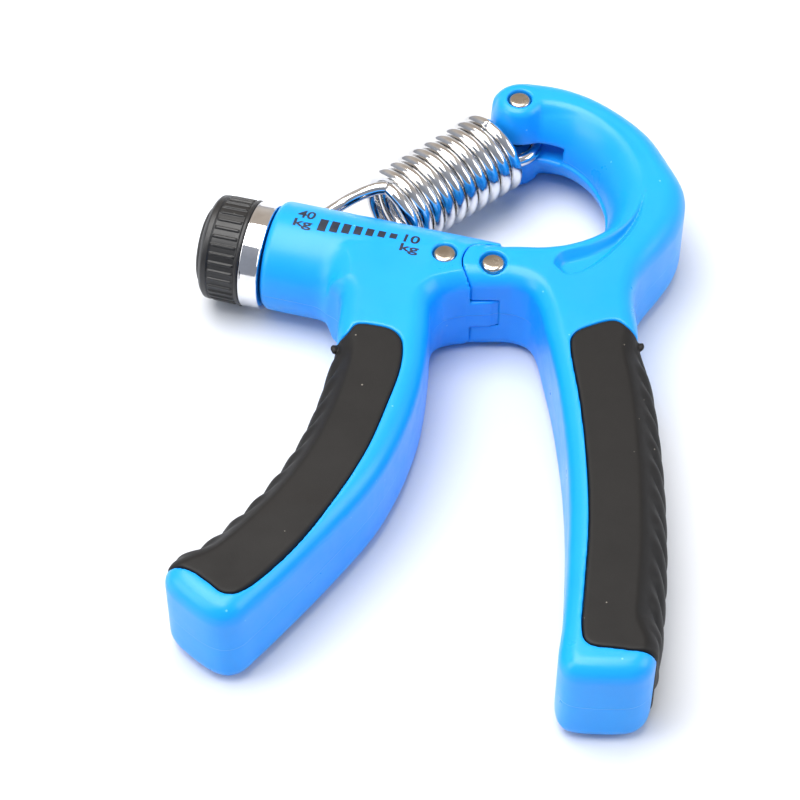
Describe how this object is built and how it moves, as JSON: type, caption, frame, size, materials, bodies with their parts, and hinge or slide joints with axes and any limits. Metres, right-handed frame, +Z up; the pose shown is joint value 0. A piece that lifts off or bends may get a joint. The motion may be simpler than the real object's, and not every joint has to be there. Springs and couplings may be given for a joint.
{
  "type": "hand grip strengthener",
  "caption": "Two curved plastic handles on a pivot, with rubber grips, an extension spring held by a hooked arm, and a knob and screw that set its strength.",
  "frame": {"origin": "on the surface it lies on, under the middle of its outline", "axes": "+Z up, normal to both handles; +Y along its length, from the handles' ends to the spring's arm; +X from the knob to the right handle"},
  "size_m": [0.1048, 0.1566, 0.023],
  "materials": {
    "blue_plastic": "glossy injection moulding",
    "black_rubber": "matt overmoulded rubber",
    "nickel": "plated rivets",
    "spring_wire": "bright plated wire",
    "inner_plastic": "moulded nylon",
    "steel": "machined",
    "chrome_plate": "mirror plated",
    "black_plastic": "satin moulding"
  },
  "bodies": {
    "left": {"left_handle": "blue_plastic", "left_grip": "black_rubber", "pivot_rivet": "nickel", "pivot_rivet_cap": "nickel", "housing_rivet": "nickel", "housing_rivet_cap": "nickel", "end_bearing": "inner_plastic", "thrust_washer": "steel"},
    "right": {"right_handle": "blue_plastic", "right_grip": "black_rubber", "anchor_rivet": "nickel", "anchor_rivet_cap": "nickel"},
    "adjuster": {"adjusting_screw": "steel", "retaining_clip": "steel", "chrome_ring": "chrome_plate", "knob": "black_plastic", "knob_screw": "steel", "knob_cap": "black_plastic"},
    "slider": {"slider_nut": "inner_plastic", "slider_pin": "steel"},
    "spring_rear": {"spring_rear_hook": "spring_wire"},
    "spring_middle": {"spring_coil": "spring_wire"},
    "spring_front": {"spring_front_hook": "spring_wire"}
  },
  "joints": [
    {"name": "grip_close", "type": "hinge", "parent": "left", "child": "right", "pos_m": [0.011, 0.02337, 0.0115], "axis": [0, 0, 1], "range_deg": [-25, 0], "stiffness_Nm_per_rad": 12, "springref_deg": 5.73},
    {"name": "knob_turn", "type": "hinge", "parent": "left", "child": "adjuster", "pos_m": [-0.03519, 0.03481, 0.0115], "axis": [0.9636, -0.2672, 0], "range_deg": [-2700, 0]},
    {"name": "slider_travel", "type": "slide", "parent": "left", "child": "slider", "axis": [0.9636, -0.2672, 0], "range_m": [0, 0.00752]},
    {"name": "rear_hook_shift", "type": "hinge", "parent": "slider", "child": "spring_rear", "pos_m": [-0.00148, 0.01719, 0.016], "axis": [0, 0, 1], "range_deg": [0, 7.46]},
    {"name": "spring_swing", "type": "hinge", "parent": "spring_rear", "child": "spring_middle", "pos_m": [-0.02164, 0.03841, 0.0115], "axis": [0, 0, 1], "range_deg": [-16.49, 0], "deforming": ["spring_rear_hook"]},
    {"name": "spring_stretch", "type": "slide", "parent": "spring_middle", "child": "spring_front", "axis": [0.7682, 0.6402, 0], "range_m": [0, 0.013], "deforming": ["spring_coil"]}
  ],
  "couplings": [
    {"joint": "slider_travel", "follows": "knob_turn", "m_per_rad": -0.00015915},
    {"joint": "rear_hook_shift", "follows": "knob_turn", "ratio": -0.0027569},
    {"joint": "spring_swing", "follows": "grip_close", "ratio": 0.65864},
    {"joint": "spring_stretch", "follows": "grip_close", "m_per_rad": -0.029756}
  ]
}
